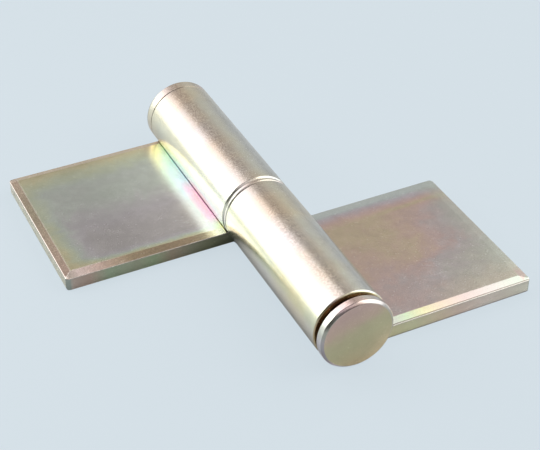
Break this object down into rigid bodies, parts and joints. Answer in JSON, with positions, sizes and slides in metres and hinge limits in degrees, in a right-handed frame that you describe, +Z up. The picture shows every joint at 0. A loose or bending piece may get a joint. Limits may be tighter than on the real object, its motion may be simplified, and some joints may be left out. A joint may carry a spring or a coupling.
{
  "type": "lift off hinge",
  "caption": "Heavy weld-on lift-off hinge: curled-knuckle leaves on a headed pin with a thrust washer and a capped upper knuckle.",
  "frame": {"origin": "under the middle of the hinge as it lies flat: the centre of the bottom face of its box", "axes": "+Y along the pin's axis towards the leaf that lifts off, +Z up off the surface that it lies on, +X towards the fixed leaf"},
  "size_m": [0.162, 0.1666, 0.03],
  "materials": {
    "leaf_zinc": "yellow chromated zinc plate on rolled steel, satin",
    "turned_zinc": "yellow chromated zinc plate on turned steel, satin"
  },
  "bodies": {
    "fixed_half": {"fixed_leaf": "leaf_zinc", "hinge_pin": "turned_zinc"},
    "washer": {"thrust_washer": "turned_zinc"},
    "lift_half": {"lift_leaf": "leaf_zinc", "end_cap": "turned_zinc"}
  },
  "joints": [
    {"name": "swing", "type": "hinge", "parent": "fixed_half", "child": "washer", "pos_m": [0, 0.00075, 0.015], "axis": [0, 1, 0], "continuous": true},
    {"name": "lift_off", "type": "slide", "parent": "washer", "child": "lift_half", "axis": [0, 1, 0], "range_m": [0, 0.066]}
  ]
}
